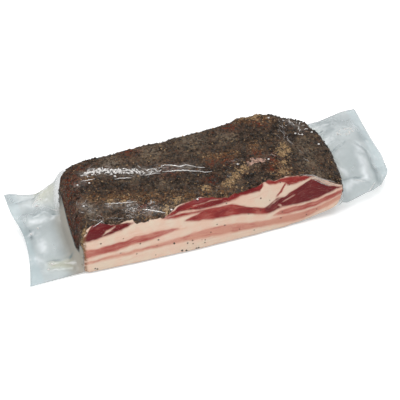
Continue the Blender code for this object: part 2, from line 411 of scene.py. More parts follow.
# %% Lean bands of the cut face
DEEP_RED, CRIMSON, RED, ROSE, PINK = 0.0, 0.2, 0.42, 0.7, 1.0
LEAN_BANDS = [
    (DEEP_RED, [(0, 46, 44), (4.4, 54, 42), (8.2, 60.5, 42), (14, 64.5, 42.8), (20, 62.8, 44), (28.4, 57.2, 45.6),
                (39, 55.3, 47.2), (46, 54.6, 50), (51, 53.6, 53.2)]),
    (ROSE, [(0, 33, 21.8), (12, 30.6, 22.6), (23, 31.8, 22.8), (32, 32.6, 22.8), (42, 32.4, 25), (53, 35.4, 26.2),
            (64, 34.8, 26), (77, 35.2, 27.6), (91, 34.5, 31.4), (97, 33.6, 32.6)]),
    (CRIMSON, [(80, 50.4, 49.6), (84, 51.2, 49.2), (94, 58, 52.2), (97, 61, 53), (105, 63.4, 53.2), (109, 64, 52.8),
           (119, 66, 50.6), (131, 65, 50.2), (136, 62, 50.8), (147, 58.5, 51.7), (153, 60.5, 52.6), (156, 61.5, 53),
           (163, 62, 56.4), (174, 63.5, 56.2), (182, 65.5, 56), (185, 67, 62)]),
    (RED, [(83, 49.2, 48.4), (94, 50.9, 46.6), (105, 50.6, 47.2), (112, 50, 47.6), (119, 49.5, 47), (134, 47.6, 46)]),
    (RED, [(103, 41, 40.5), (110, 43.4, 38), (115, 45.6, 37), (124, 48.6, 36), (131, 49, 35), (138.5, 48.8, 33.8),
           (153, 48, 33.2), (163, 43, 32.4), (172.6, 38.4, 30), (182, 34.6, 26.8), (187, 33.6, 26), (191, 35.6, 25.8)]),
    (DEEP_RED, [(183, 33.2, 32.2), (187, 33.6, 26), (192.5, 36.8, 25.8), (200, 42, 27.8), (204, 42.4, 28.8),
                (208, 41.6, 29), (214, 45.4, 29), (221.5, 49.2, 28.8), (229, 53, 28.8), (237, 56.8, 29),
                (245.4, 51.4, 30), (256, 43.8, 33.4), (266, 39.4, 36.4), (272, 37.6, 37.2)]),
    (RED, [(186, 69.5, 67), (191.4, 69, 61.8), (197.4, 65, 60.2), (204.2, 66.8, 61.6), (208, 66.4, 59),
           (211.2, 66, 55.6), (217.3, 65.4, 55), (222, 65, 55.8), (227, 63.8, 57), (233, 62, 58), (237, 61, 59.6)]),
    (RED, [(200, 45.4, 44), (201.5, 48, 44.8), (204.6, 53.4, 48.8), (206.6, 57.4, 52), (208.5, 60.5, 56),
           (210.2, 61, 59)]),
    (ROSE, [(198, 21.6, 21), (204.6, 25.4, 19.6), (212.6, 26, 18.8), (223, 25.8, 19.4), (233, 26.2, 19.6),
            (243, 26.8, 20.8), (255, 30, 24), (272, 34.4, 29.2)]),
    (PINK, [(0, 16.2, 14), (18, 17.6, 14.9), (41, 17.6, 14.8), (63, 18.6, 15.6), (82, 19.6, 15), (100, 21, 15.2),
            (110, 22.2, 14.2), (119, 23.2, 13.2), (134, 24.2, 12.2), (144, 23.2, 12.2), (158, 21.4, 11.2),
            (170, 19, 11), (183, 17, 9.8), (193, 16, 9.6), (208, 17.2, 8.8), (218, 16.4, 7.8), (226, 16.6, 7.6),
            (236, 17.4, 9.6), (243, 18.4, 12), (255, 21.8, 16.4), (272, 27.4, 23.4)]),
]
FAT_STREAKS = [
    [(20, 46.4, 45.4), (24, 51, 47.6), (28.5, 53, 50), (33, 54, 52.6)],
    [(191, 32.8, 32), (196.3, 37.6, 36.2), (201, 41, 39.6), (202.6, 41.2, 40.6)],
    [(207, 35.8, 35), (214, 39.8, 38.2), (219.6, 42, 41.2)],
    [(202, 33.8, 32.8), (204, 33.2, 30.4), (206, 31.4, 30)],
    [(112, 57, 56.4), (130, 59.4, 58.2), (142, 57.2, 56.8)],
]
CRUST_EDGE = [(0, 56), (4, 57.5), (7.5, 61), (11, 61), (16, 63), (22, 60.5), (28, 57), (36, 55.5), (42.7, 56.8),
              (49.5, 58.5), (53.3, 50.6), (60.5, 51.3), (73, 51), (82, 50.8), (87, 53), (94, 60.5), (100.6, 63),
              (110, 64), (119, 66), (124, 64.5), (131, 62.8), (135.5, 60.5), (141, 58.5), (147, 57.4), (152.8, 59.6),
              (162.4, 60.8), (170, 62), (178, 62.6), (185.5, 67), (189, 69.5), (191.5, 68.5), (197.3, 64.6),
              (204, 66.8), (211, 66.2), (220.8, 65.4), (228, 63.6), (236.6, 60.8), (246.5, 55.4), (256.7, 47.8),
              (272, 39.6)]
BEHIND_COUNTS_X, BEHIND_COUNTS_Z = -0.364, 0.862


def in_strip(xs, zs, strip):
    """How deep points lie in a strip, negative outside it, and their height above its middle, both in millimetres."""
    places, upper, lower = np.array(strip).T
    upper, lower = np.interp(xs, places, upper), np.interp(xs, places, lower)
    from_ends = np.minimum(xs - places[0], places[-1] - xs)
    return np.minimum(np.minimum(upper - zs, zs - lower), from_ends), zs - 0.5 * (upper + lower)


behind = pork_points[:, 1] + FRONT_BOW - 1.3
flat_x = pork_points[:, 0] + BEHIND_COUNTS_X * behind + 1.2 * rough_noise(pork_points, 5.0, 5.5)
flat_z = pork_points[:, 2] + BEHIND_COUNTS_Z * behind + 0.8 * rough_noise(pork_points, 8.0, 3.0)

lean_depth = np.full(len(pork_points), -99.0)
lean_tone, above_middle = np.zeros((2, len(pork_points)))
for tone_value, strip in LEAN_BANDS:
    depth, above = in_strip(flat_x, flat_z, strip)
    nearer = depth > lean_depth
    lean_tone[nearer], above_middle[nearer], lean_depth[nearer] = tone_value, above[nearer], depth[nearer]
for strip in FAT_STREAKS:
    lean_depth = np.minimum(lean_depth, 0.3 - in_strip(flat_x, flat_z, strip)[0])

crust_depth = flat_z - np.interp(flat_x, *np.array(CRUST_EDGE).T) + 1.5 * rough_noise(pork_points, 3.2, 8.0)
crust_depth = np.maximum(crust_depth, 8.0 * rise(np.abs(pork_normals[:, 0]), 0.55, 0.8) - 4.0)
on_left_end = rise(-pork_normals[:, 0], 0.55, 0.8)
TIP_START, TIP_CURL = 205.0, 9.0
floor_height = UNDER_FILM + TIP_CURL * np.clip((pork_points[:, 0] - TIP_START) / (SLAB_LENGTH - TIP_START), 0, 1) ** 2
rind_line = 1.0 - rise(pork_points[:, 2] - floor_height, 0.2, 1.3)
stain = 1.0 - rise(flat_x, 0.5, 4.5)
rind = np.maximum(rise(-pork_normals[:, 2], 0.45, 0.75) * rise(behind, 0.5, 2.5), rind_line)
set_vertex_values(
    pork, lean_depth=lean_depth, lean_tone=lean_tone, above_middle=above_middle, crust_depth=crust_depth, rind=rind,
    stain=stain,
)
print("lean on", round(100 * float(np.mean((lean_depth > 0) & (crust_depth < 0))), 1), "% of the vertices")

# %% [markdown]
# The crust is not one brown. Tan lumps sit on the right shoulder and along the orange brown front edge. Some stretches
# are redder, where meat shows between the spices, others are nearly black, and the back and the right tip are grey:
# partly greyer crust, partly a painted reflection of the film on top.
# Sheen is where the film on top gathers and shines. Each patch is a soft round spot: its middle and reach in
# millimetres.

# %% Patches on the crust
TAN_PATCHES = [(3, -1, 7), (38, 31, 4), (50, 24, 4), (62, -6, 4), (86, 2, 5), (100, 8, 5), (131, 14, 4), (152, 11, 5),
               (158, 14, 6), (165, 20, 6), (172, 25, 6), (178, 29, 5), (226, 45, 9), (221, 37, 6), (218, 24, 4),
               (211, 10, 5), (215, 103, 5), (222, 108, 7), (206, 106, 4)]
ORANGE_PATCHES = [(26, 42, 8), (40, 36, 9), (54, 30, 9), (67, 25, 9), (80, 20, 9), (94, 15, 9), (112, 8, 9),
                  (130, 7, 8), (147, 4, 8), (152, 57, 8), (162, 55, 8), (172, 53, 8), (210, 25, 9), (212, 12, 9),
                  (216, 102, 11), (204, 106, 8), (228, 96, 7), (31, 72, 7), (200, 58, 8), (70, 4, 7), (90, -4, 6)]
RED_PATCHES = [(152, 48, 7), (164, 46, 7), (196, 45, 8), (208, 32, 8), (204, 18, 7), (218, 92, 8), (12, 74, 12),
               (2, 60, 12), (-4, 40, 12), (24, 86, 10), (106, 53, 10), (68, 11, 7), (80, 98, 10), (188, 96, 9),
               (140, 22, 7), (-4, 20, 10)]
GREY_AND_REFLECTION_PATCHES = [(242, 22, 12), (248, 42, 11), (247, 5, 10), (254, 55, 8), (100, 93, 20), (142, 91, 18), (60, 92, 15),
                (180, 84, 13), (17, 32, 9), (14, 20, 8), (95, 38, 9), (70, 58, 9)]
DARK_PATCHES = [(128, 45, 13), (140, 36, 13), (148, 30, 11), (120, 28, 10), (190, 12, 9), (243, 68, 9), (243, 87, 9),
                (236, 76, 8), (53, 46, 9), (34, 52, 9), (85, 44, 10), (108, 36, 9), (190, 72, 12), (208, 74, 12),
                (164, 36, 8), (232, 30, 6), (184, 44, 7), (20, 60, 7)]
PALE_PATCHES = [(185, 33, 5), (191, 35, 6), (198, 33, 5)]
SHEEN_PATCHES = [(30, 78, 8), (42, 77, 8), (52, 73, 9), (62, 70, 8), (72, 66, 7), (84, 60, 8), (98, 58, 8),
                 (112, 56, 7), (126, 50, 7), (20, 67, 6), (36, 24, 8), (54, 16, 9), (14, 34, 6), (74, 8, 7),
                 (88, -2, 6), (120, 4, 5), (236, 102, 5), (252, 88, 8), (258, 70, 7), (266, 52, 5), (174, 38, 5),
                 (206, 36, 6), (136, 42, 6)]

not_below = rise(pork_normals[:, 2], -0.5, -0.1)
patch_shares = {
    name: not_below * spots(pork_points, patches)
    for name, patches in (("tan", TAN_PATCHES), ("orange", ORANGE_PATCHES), ("red", RED_PATCHES),
                          ("grey", GREY_AND_REFLECTION_PATCHES), ("dark", DARK_PATCHES), ("pale", PALE_PATCHES),
                          ("sheen", SHEEN_PATCHES))
}
set_vertex_values(pork, **patch_shares)
print("patches cover", {name: f"{share.mean():.0%}" for name, share in patch_shares.items()})

# %% [markdown]
# Relief. The crust is craggy: lumps of a few millimetres carry grit of one or two. Lean dries more than fat, so the
# lean bands lie a little lower. The meat has to stay below the film, so most of the relief is taken out of it and
# little is added.

# %% Relief of crust, lean and fat
on_crust = rise(crust_depth, -0.6, 0.9)
lumps = rough_noise(pork_points, 6.5, 5.0, octaves=3)
grit = rough_noise(pork_points, 1.9, 12.0)
height = on_crust * (0.5 * lumps + 0.32 * grit - 0.3)
height += (1.0 - on_crust) * (0.10 * rough_noise(pork_points, 14.0, 2.0) - 0.35 * rise(lean_depth, -0.8, 0.8))
height += 0.4 * on_crust * spots(pork_points, TAN_PATCHES + PALE_PATCHES) * not_below
write_mm(pork, pork_points + pork_normals * height[:, None])
pork_points = read_mm(pork)
pork_normals = read_normals(pork)
pork.data.shade_smooth()
print("relief from", round(float(height.min()), 2), "to", round(float(height.max()), 2), "mm")

# %% [markdown]
# Ground pepper shows on crust, cut face and rind alike, in different amounts, so it is a node group: cells of one size,
# each with its own random number, give a mask of dark specks and a grain height for the bump.

# %% Shader group for ground pepper
pepper_group = bpy.data.node_groups.new("ground_pepper", "ShaderNodeTree")
for way, kind, socket_names in (
    ("INPUT", "NodeSocketVector", ["Vector"]), ("INPUT", "NodeSocketFloat", ["Grain Size", "Amount"]),
    ("OUTPUT", "NodeSocketFloat", ["Speck", "Kind", "Height"]),
):
    for socket_name in socket_names:
        pepper_group.interface.new_socket(socket_name, in_out=way, socket_type=kind)
open_tree(pepper_group)
group_in = add_node("NodeGroupInput").outputs
cells_per_mm = math_node("DIVIDE", 1.0, group_in["Grain Size"])
cells = add_node("ShaderNodeTexVoronoi", {"Vector": group_in["Vector"], "Scale": cells_per_mm}).outputs
dice = add_node("ShaderNodeSeparateColor", {"Color": cells["Color"]}).outputs
chosen = math_node("LESS_THAN", dice["Red"], group_in["Amount"])
add_node("NodeGroupOutput", {
    "Speck": times(chosen, step(cells["Distance"], 0.62, 0.38)),
    "Kind": dice["Green"],
    "Height": step(cells["Distance"], 0.8, 0.0),
})


def ground_pepper(where, size, amount):
    """Outputs Speck, Kind and Height of a spread of grains of one size, in millimetres."""
    inputs = {"Vector": where, "Grain Size": size, "Amount": amount}
    return add_node("ShaderNodeGroup", inputs, node_tree=pepper_group).outputs


# %% [markdown]
# The meat has one material, because crust and cut run into each other. Fat is cream, a bit pinker in places, lean goes
# from deep red to pink by its band, and both carry thin streaks, drawn out along the band.

# %% Finish of the cut face
STREAK_SQUEEZE, BAND_SPACING = 0.09, 7.0
pork_finish, shader = start_material("pork_finish")
where = place_in_mm()
along_x = times(add_node("ShaderNodeSeparateXYZ", {0: where}).outputs["X"], STREAK_SQUEEZE)
with_band = add_node("ShaderNodeCombineXYZ", {
    "X": along_x, "Y": attribute("above_middle"), "Z": times(attribute("lean_tone"), BAND_SPACING),
}).outputs[0]
streaks = cloud(with_band, 1.9, 3.0, 0.6)
fine_streaks = cloud(with_band, 0.9, 2.0, 0.6)
blotches = cloud(where, 13.0)
mottle = cloud(where, 3.2, 3.0, 0.6)
fine_mottle = cloud(where, 1.3, 2.0, 0.6)

CREAM, WARM_FAT, PINK_FAT = (0.62, 0.50, 0.395), (0.63, 0.445, 0.345), (0.52, 0.235, 0.175)
fat = mix(step(blotches, 0.35, 0.65), CREAM, WARM_FAT)
fat = mix(times(step(streaks, 0.52, 0.74), 0.38), fat, PINK_FAT)

wandering = times_add(streaks, 0.8, times_add(blotches, 0.6, -0.7))
tone = math_node("ADD", attribute("lean_tone"), wandering)
lean = colour_ramp(tone, [
    (0.0, (0.11, 0.010, 0.012)), (1.0, (0.50, 0.245, 0.180)), (0.22, (0.165, 0.014, 0.015)),
    (0.45, (0.25, 0.031, 0.026)), (0.72, (0.37, 0.112, 0.088)),
])
marbling = times(step(fine_streaks, 0.56, 0.74), 0.45)
lean = mix(marbling, lean, PINK_FAT)

ragged = times_add(mottle, 1.8, -0.9)
lean_edge = math_node("ADD", attribute("lean_depth"), ragged)
fat = mix(times(step(lean_edge, -2.6, -0.4), 0.34), fat, PINK_FAT)
cut = mix(step(lean_edge, -1.3, 1.4), fat, lean)
stained = times(attribute("stain"), step(mottle, 0.30, 0.60))
cut = mix(stained, cut, (0.17, 0.085, 0.04))
cut = mix(ground_pepper(where, 1.6, 0.006)["Speck"], cut, (0.05, 0.035, 0.025))

# %% [markdown]
# Now the crust of the same material, and the rind below. Two sizes of grain lie over a dusty base.

# %% Finish of the crust and rind
dust = cloud(where, 5.0, 5.0, 0.66)
clumps = cloud(where, 11.0, 3.0, 0.6)
spice = mix(step(dust, 0.40, 0.60), (0.008, 0.005, 0.003), (0.092, 0.054, 0.034))
spice = mix(times(step(clumps, 0.48, 0.62), 0.55), spice, (0.115, 0.078, 0.050))
tan = colour_ramp(fine_mottle, [(0.35, (0.13, 0.065, 0.025)), (0.65, (0.46, 0.32, 0.17))])
# The grey tint here is partly greyer crust and partly painted reflection of the film on top.
for patch, pattern, low, high, patch_tint in (
    ("grey", mottle, 0.40, 0.58, (0.155, 0.118, 0.084)),
    ("orange", mottle, 0.40, 0.60, (0.165, 0.078, 0.030)),
    ("red", mottle, 0.42, 0.58, (0.12, 0.022, 0.009)),
    ("dark", mottle, 0.62, 0.40, (0.010, 0.006, 0.004)),
):
    share = times(attribute(patch), step(pattern, low, high))
    spice = mix(share, spice, patch_tint)
for patch, patch_tint in (("tan", tan), ("pale", (0.44, 0.27, 0.21))):
    torn = times_add(mottle, 1.6, times_add(attribute(patch), 0.9, -0.8))
    share = times(step(torn, 0.42, 0.58), step(attribute(patch), 0.05, 0.3))
    spice = mix(share, spice, patch_tint)
GRAIN_TINTS = [
    (0.0, (0.006, 0.004, 0.003)), (0.45, (0.026, 0.015, 0.009)), (0.70, (0.085, 0.058, 0.037)),
    (0.82, (0.090, 0.026, 0.011)), (0.93, (0.26, 0.165, 0.08)),
]
coarse_grains, fine_grains = ground_pepper(where, 2.7, 0.45), ground_pepper(where, 1.4, 0.5)
for grains in (coarse_grains, fine_grains):
    grain_tint = colour_ramp(grains["Kind"], GRAIN_TINTS, stepped=True)
    spice = mix(times(grains["Speck"], 0.5), spice, grain_tint)

crust_share = step(math_node("ADD", attribute("crust_depth"), ragged), -0.5, 0.6)
skin = mix(mottle, (0.22, 0.13, 0.075), (0.10, 0.058, 0.034))
bump_height = times_add(fine_streaks, 0.25, times(fine_grains["Height"], crust_share))
fill_inputs(shader, {
    "Base Color": mix(attribute("rind"), mix(crust_share, cut, spice), skin),
    "Normal": bump(bump_height, 0.7, 0.7),
    "Roughness": times_add(crust_share, 0.25, 0.45),
    "Specular IOR Level": 0.06,
    "Coat Weight": times_add(attribute("sheen"), 0.5, 0.03),
    "Coat Roughness": 0.14,
    "Subsurface Weight": 0.06,
    "Subsurface Radius": (0.004, 0.0015, 0.001),
})
pork.data.materials.append(pork_finish)

# %% [markdown]
# Loose grains. Texture alone looks painted on, so the coarser bits are real: cracked black pepper, lighter husks and
# ochre crumbs. Each kind is one mesh. A grain is a small ball of twenty faces, dented, flattened and turned at random,
# and half sunk in the crust. The generator is seeded, so the scene is the same every time.

# %% Scatter the grains
bpy.ops.mesh.primitive_ico_sphere_add(subdivisions=1)
ball = bpy.context.object
BALL_POINTS = np.array([vertex.co[:] for vertex in ball.data.vertices])
BALL_FACES = np.array([face.vertices[:] for face in ball.data.polygons])
bpy.data.objects.remove(ball)


def grains_on(name, count, size, likely, seed, sunk=0.25):
    """One mesh of many grains that lie on the meat. Size is (smallest, largest) in millimetres, and likely says how
    willing each vertex of the meat is to carry one."""
    draw = np.random.default_rng(seed)
    spots_chosen = draw.choice(len(pork_points), count, replace=False, p=likely / likely.sum())
    all_points, shades = [], []
    for spot in spots_chosen:
        radius = 0.5 * (size[0] + (size[1] - size[0]) * draw.random() ** 2)
        dented = BALL_POINTS * draw.uniform(0.72, 1.15, (len(BALL_POINTS), 1)) * radius
        dented *= draw.uniform(0.65, 1.0, 3)
        turn = Vector(draw.normal(size=3)).to_track_quat("Z", "Y").to_matrix()
        turned = dented @ np.array(turn).T
        up = pork_normals[spot]
        flat = turned - 0.35 * np.outer(turned @ up, up)
        all_points.append(flat + pork_points[spot] + up * radius * (0.5 - sunk))
        shades.append(np.full(len(BALL_POINTS), draw.random()))
    faces = (BALL_FACES[None] + len(BALL_POINTS) * np.arange(count)[:, None, None]).reshape(-1, 3)
    mesh = bpy.data.meshes.new(name)
    mesh.from_pydata((np.concatenate(all_points) * MM + CORNER).tolist(), [], faces.tolist())
    made = bpy.data.objects.new(name, mesh)
    bpy.context.scene.collection.objects.link(made)
    set_vertex_values(made, shade=np.concatenate(shades))
    return made


peppery = rise(crust_depth, 0.0, 1.5) * (1.0 - rind) * (0.3 + 0.7 * rise(lumps, -0.4, 0.5))
peppery *= (1.0 - 0.7 * patch_shares["grey"]) * (1.0 - 0.6 * on_left_end)
in_clusters = 0.15 + rise(rough_noise(pork_points, 9.0, 17.0), -0.05, 0.4)
cracked_pepper = grains_on("cracked_pepper", 4600, (1.0, 3.0), peppery, 11)
husk_share = in_clusters * (1.0 - 0.8 * patch_shares["dark"]) * (1.0 - 0.8 * patch_shares["red"])
pepper_husks = grains_on("pepper_husks", 1500, (0.9, 2.3), peppery * husk_share, 12)
ochre_share = 0.03 + patch_shares["tan"] + 0.4 * patch_shares["orange"]
ochre_crumbs = grains_on("ochre_crumbs", 1000, (0.9, 2.8), peppery * ochre_share, 13)

SPECKS_ON_CUT = [(56.9, 24.7), (17.8, 34.9), (91.8, 15.8), (104.2, 3.4), (11.4, 4.8), (116.8, 2.9), (124.1, 11.5),
                 (170.4, 30.4), (182.7, 46.1), (75.4, 24.4), (111.5, 9.9), (105.3, 11.8), (100.0, 4.2), (114.7, 3.0),
                 (13.5, 3.6), (145.0, 24.0), (206.0, 14.0)]
on_cut = np.where(pork_normals[:, 1] < -0.7)[0]
near_specks = np.zeros(len(pork_points))
for x, z in SPECKS_ON_CUT:
    away = np.hypot(pork_points[on_cut, 0] - x, pork_points[on_cut, 2] - z)
    near_specks[on_cut[away.argmin()]] = 1.0
cut_specks = grains_on("specks_on_cut", int(near_specks.sum()), (2.2, 3.6), near_specks, 14, sunk=0.42)

for grains_item, dark, light in (
    (cracked_pepper, (0.006, 0.004, 0.003), (0.034, 0.020, 0.012)),
    (pepper_husks, (0.040, 0.024, 0.014), (0.16, 0.105, 0.064)),
    (ochre_crumbs, (0.10, 0.045, 0.017), (0.40, 0.25, 0.115)),
    (cut_specks, (0.014, 0.010, 0.007), (0.05, 0.032, 0.02)),
):
    grain_finish, shader = start_material(grains_item.name + "_finish")
    share = times_add(cloud(place_in_mm(), 0.6), 0.5, times(attribute("shade"), 0.6))
    fill_inputs(shader, {"Base Color": mix(share, dark, light), "Roughness": 0.6})
    grains_item.data.materials.append(grain_finish)
    print(grains_item.name, len(grains_item.data.polygons), "triangles")

# %% [markdown]
# The film is one closed skin from seal to seal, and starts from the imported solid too. The edges at the two seals are
# creased, so that subdivision keeps the bag's corners sharp while it rounds the rest. Film that is well away from the
# meat counts as loose.

# %% Skin of the bag
CLINGS_BELOW, LOOSE_ABOVE = 1.8, 6.5

film = welded_copy("clear_film")
open_for_editing(film)
bpy.ops.mesh.select_all(action="DESELECT")
bpy.ops.mesh.edges_select_sharp(sharpness=math.radians(60))
bpy.ops.transform.edge_crease(value=1.0)
close_editing()
smooth = film.modifiers.new("smooth", "SUBSURF")
smooth.levels = 2
apply_modifiers(film)
write_mm(film, settle(read_mm(film)))
film_points = read_mm(film)
film_x, film_y, film_z = film_points.T
film_normals = read_normals(film)

meat_skin = BVHTree.FromObject(pork, bpy.context.evaluated_depsgraph_get())
gap = np.array([meat_skin.find_nearest(Vector(CORNER + point * MM))[3] for point in film_points]) / MM
loose = rise(gap, CLINGS_BELOW, LOOSE_ABOVE)
print("film:", len(film.data.polygons), "faces,", round(100 * float(loose.mean())), "% loose")

# %% [markdown]
# The two flat ends. The front corner of the right end is folded short, and the back edge of the left end is drawn in.
# Then come the folds. Each has its height, or depth if negative, its half width, and a line through a few points
# (x, y), all in millimetres.

# %% Shape and folds of the bag ends
DRAWN_IN, BULGE = 4.0, 3.0
FOLD_LIFT, SEALS_STAY_FLAT, GRIT_SHOWS = 1.1, 0.65, 0.10
RIGHT_EDGE = [(6, 306), (9, 313), (11, 318), (14, 325), (20, 331.5), (27, 337), (38, 341), (50, 341.5), (75, 340),
              (120, 340)]
SOLID_EDGE = [(7, 322), (14, 325.5), (20, 331.5), (27, 337), (34, 340), (120, 340)]
FOLDS = [
    (-0.8, 1.8, [(-43, 95), (-33, 94), (-22, 95), (-16, 98)]),
    (1.2, 2.2, [(-36, 88), (-27, 85), (-22, 89), (-18, 96), (-8, 96)]),
    (0.8, 1.4, [(-24, 85), (-18, 87.5), (-12, 86)]),
    (-1.0, 1.8, [(-44, 80), (-33, 80), (-16, 80), (-9, 69), (-4, 57)]),
    (0.9, 1.6, [(-30, 76), (-16, 76), (-9, 65), (-3, 54)]),
    (-0.6, 2.4, [(-42, 86), (-39, 74), (-37, 58), (-38, 43)]),
    (0.8, 3.0, [(-45, 25), (-41, 26), (-34, 18)]),
    (0.5, 2.6, [(-29, 44), (-30, 33), (-32, 24)]),
    (0.9, 1.7, [(-30, 17.6), (-22, 14), (-10, 9.3), (-4, 6)]),
    (-0.6, 1.4, [(-32, 21), (-22, 18), (-10, 14), (-3, 11)]),
    (0.6, 1.3, [(-40, 13), (-33, 11), (-22, 7.3), (-10, 5.3)]),
    (-0.6, 1.5, [(276, 100), (282, 102), (296, 106), (313, 108)]),
    (0.7, 1.6, [(272, 91), (283, 95), (297, 100), (308, 103)]),
    (-0.7, 1.6, [(273, 82), (283, 87), (296, 94), (310, 99)]),
    (0.6, 1.6, [(272, 75), (286, 79), (300, 85)]),
    (0.8, 1.5, [(304, 90), (312, 94.5), (320, 94.5), (326, 90), (322, 85), (313, 84), (304, 87)]),
    (-0.7, 1.8, [(275, 54), (284, 58.5), (295.5, 65.7), (309, 73.5)]),
    (0.7, 2.0, [(278, 66), (290, 71), (302, 78)]),
    (-1.2, 2.4, [(318, 72), (323, 65), (326, 58), (326.5, 47), (327, 34), (323, 17)]),
    (0.8, 2.8, [(315, 50), (317, 39), (314, 25)]),
    (0.9, 2.2, [(333, 73), (332.5, 56), (333, 41), (331, 24)]),
    (0.8, 1.5, [(290, 22), (298, 25), (304, 24.7), (311, 20)]),
    (-0.3, 1.8, [(282, 24), (296, 30), (306, 29), (314, 24)]),
    (0.7, 1.4, [(300, 4), (307, 7.3), (314, 13.4), (319, 18)]),
]


def soft_streak(points, half_width, line):
    """A streak along a chain of straight stretches, seen from above: 1 on the line, and fading beside it."""
    nearest = np.full(len(points), 1e9)
    for start, end in zip(np.array(line[:-1], float), np.array(line[1:], float)):
        stretch = end - start
        share = np.clip((points[:, :2] - start) @ stretch / (stretch @ stretch), 0.0, 1.0)
        foot = start + share[:, None] * stretch
        nearest = np.minimum(nearest, np.linalg.norm(points[:, :2] - foot, axis=1))
    return np.exp(-((nearest / half_width) ** 2))


beyond = film_x - SLAB_LENGTH
old_edge = np.interp(film_y, *np.array(SOLID_EDGE).T) - SLAB_LENGTH
new_edge = np.interp(film_y, *np.array(RIGHT_EDGE).T) - SLAB_LENGTH
shorter = np.clip(new_edge / old_edge, 0.0, 1.1)
moved_x = SLAB_LENGTH + beyond * (1 - rise(beyond, 0, 20) * (1 - shorter))
film_x[:] = np.where(beyond > 0, moved_x, film_x)
film_y -= DRAWN_IN * np.sin(np.pi * np.clip((-4 - film_x) / 42, 0, 1)) ** 2 * rise(film_y, 60, 108)
film_x -= BULGE * rise(-film_x, 18, 46) * np.exp(-(((film_y - 88) / 18) ** 2))

in_ends = loose * np.maximum(rise(-film_x, -2, 5), rise(film_x - SLAB_LENGTH, -2, 5))
flat_points = film_points * (1.0, 1.0, 0.0)
wobble = np.zeros_like(film_points)
wobble[:, 0] = 1.4 * rough_noise(flat_points, 9.0, 14.0)
wobble[:, 1] = 1.8 * rough_noise(flat_points, 11.0, 4.0) + 0.8 * rough_noise(flat_points, 4.0, 6.0)
uneven = 0.55 + 0.45 * rise(rough_noise(flat_points, 8.0, 21.0), -0.3, 0.3)
ridge_glow, valley_shade, lift = np.zeros((3, len(film_points)))
# Ridge tops of the folds get a painted highlight and valleys a painted shade, on top of their real height.
for fold_height, half_width, line in FOLDS:
    shape = uneven * soft_streak(film_points + wobble, half_width, line)
    lift += FOLD_LIFT * fold_height * shape
    if fold_height > 0:
        ridge_glow = np.maximum(ridge_glow, shape**3)
    else:
        valley_shade = np.maximum(valley_shade, shape**2)
at_seal = rise(-film_x, 37.0, 42.0) + rise(film_x, 328.0, 332.0)
crumple = 0.4 * rough_noise(flat_points, 17.0, 9.0) + 0.2 * rough_noise(flat_points, 6.0, 2.5)
lift = (lift + crumple) * in_ends * (1.0 - SEALS_STAY_FLAT * at_seal)

film_points += film_normals * (GRIT_SHOWS * (1.0 - loose) * rough_noise(film_points, 3.0, 7.0))[:, None]
film_z[:] = np.maximum(film_z + lift, 0.0)
write_mm(film, film_points)
film.data.shade_smooth()
print("folds lift the ends by up to", round(float(np.abs(lift).max()), 1), "mm")

# %% [markdown]
# Loose film is never one even tint. Along its folds it turns darker, partly by layers lying on each other and partly
# as painted shade, or milky, partly by its own milkiness and partly as painted highlight. Near the meat it picks up a
# warm tint, and where it gathers on top of the meat it is hazy, partly real haze and partly painted reflection. Each
# tint is a list of soft streaks: half width, and the line it runs along. A veil of film hangs down before the slab's
# left end.

# %% Tints of the loose film
MILKY_AND_HIGHLIGHT = [(4.5, [(-44, 28), (-36, 20)]), (2.2, [(-29, 60), (-27, 60)]), (2.2, [(-38, 57), (-36, 57)]),
         (4.0, [(-31, 50), (-31, 34)]), (3.5, [(-10, 63), (-20, 69), (-34, 72)]),
         (5.0, [(320, 68), (318, 52), (315, 30)]), (4.0, [(312, 26), (296, 24), (280, 14)]),
         (4.0, [(284, 44), (292, 36)]), (3.5, [(276, 72), (296, 80)])]
SHADED = [(4.5, [(-4, 64), (-12, 77), (-22, 80), (-40, 81)]), (5.0, [(-47, 105), (-43, 98)]),
          (4.5, [(-41, 72), (-38, 58)]), (3.0, [(322, 68), (326, 54), (327, 38), (324, 20)]),
          (9.0, [(300, 104), (328, 104)]), (3.5, [(284, 86), (304, 95)]), (5.0, [(331, 92), (331, 76)])]
WARM = [(8.0, [(-14, 96), (-2, 88)]), (4.5, [(-26, 15), (-6, 8)]), (7.0, [(278, 88), (280, 36)])]
HAZE_AND_REFLECTION = [(6.0, [(26, 80), (51, 75), (71, 67), (96, 59), (128, 50)]), (6.0, [(12, 34), (18, 22)]),
        (4.5, [(34, 25), (58, 17)]), (5.0, [(66, 6), (78, 4)]), (6.0, [(250, 90), (258, 76)]),
        (5.0, [(14, 66), (20, 66)])]


def soft_streaks(points, streaks):
    """The strongest of a list of soft streaks at each point."""
    return np.max([soft_streak(points, *streak) for streak in streaks], axis=0)


wandering_points = film_points + 1.5 * wobble
facing_up = rise(film_normals[:, 2], 0.3, 0.6)
veil_top = 25.8 + 0.31 * (film_y - 14.0)
below_veil_top = np.maximum(rise(veil_top - film_z, -1.5, 1.5), rise(8.0 - film_y, 0, 3) * rise(34.0 - film_z, 0, 3))
veil = below_veil_top * rise(1.5 - film_x, 0, 1.5) * rise(film_x, -20, -2) * (1.0 - rise(film_y, 58, 82))
for name, streaks in (("milky_and_highlight", MILKY_AND_HIGHLIGHT), ("shaded", SHADED), ("warm", WARM)):
    set_vertex_values(film, **{name: in_ends * soft_streaks(wandering_points, streaks)})
set_vertex_values(
    film, haze=facing_up * (1.0 - loose) * soft_streaks(film_points, HAZE_AND_REFLECTION), loose=np.maximum(loose, veil), veil=veil,
    ridge_glow=ridge_glow * in_ends, valley_shade=valley_shade * in_ends, seal=at_seal,
)
print("veil on", int((veil > 0.5).sum()), "vertices")

# %% [markdown]
# The finish of the film. Where it clings to the meat it is nearly invisible. Where two layers hang free it looks
# bluish grey. So most of the shader is its alpha, which is almost nothing on the meat and grows at folds and where the
# film is seen edge on.

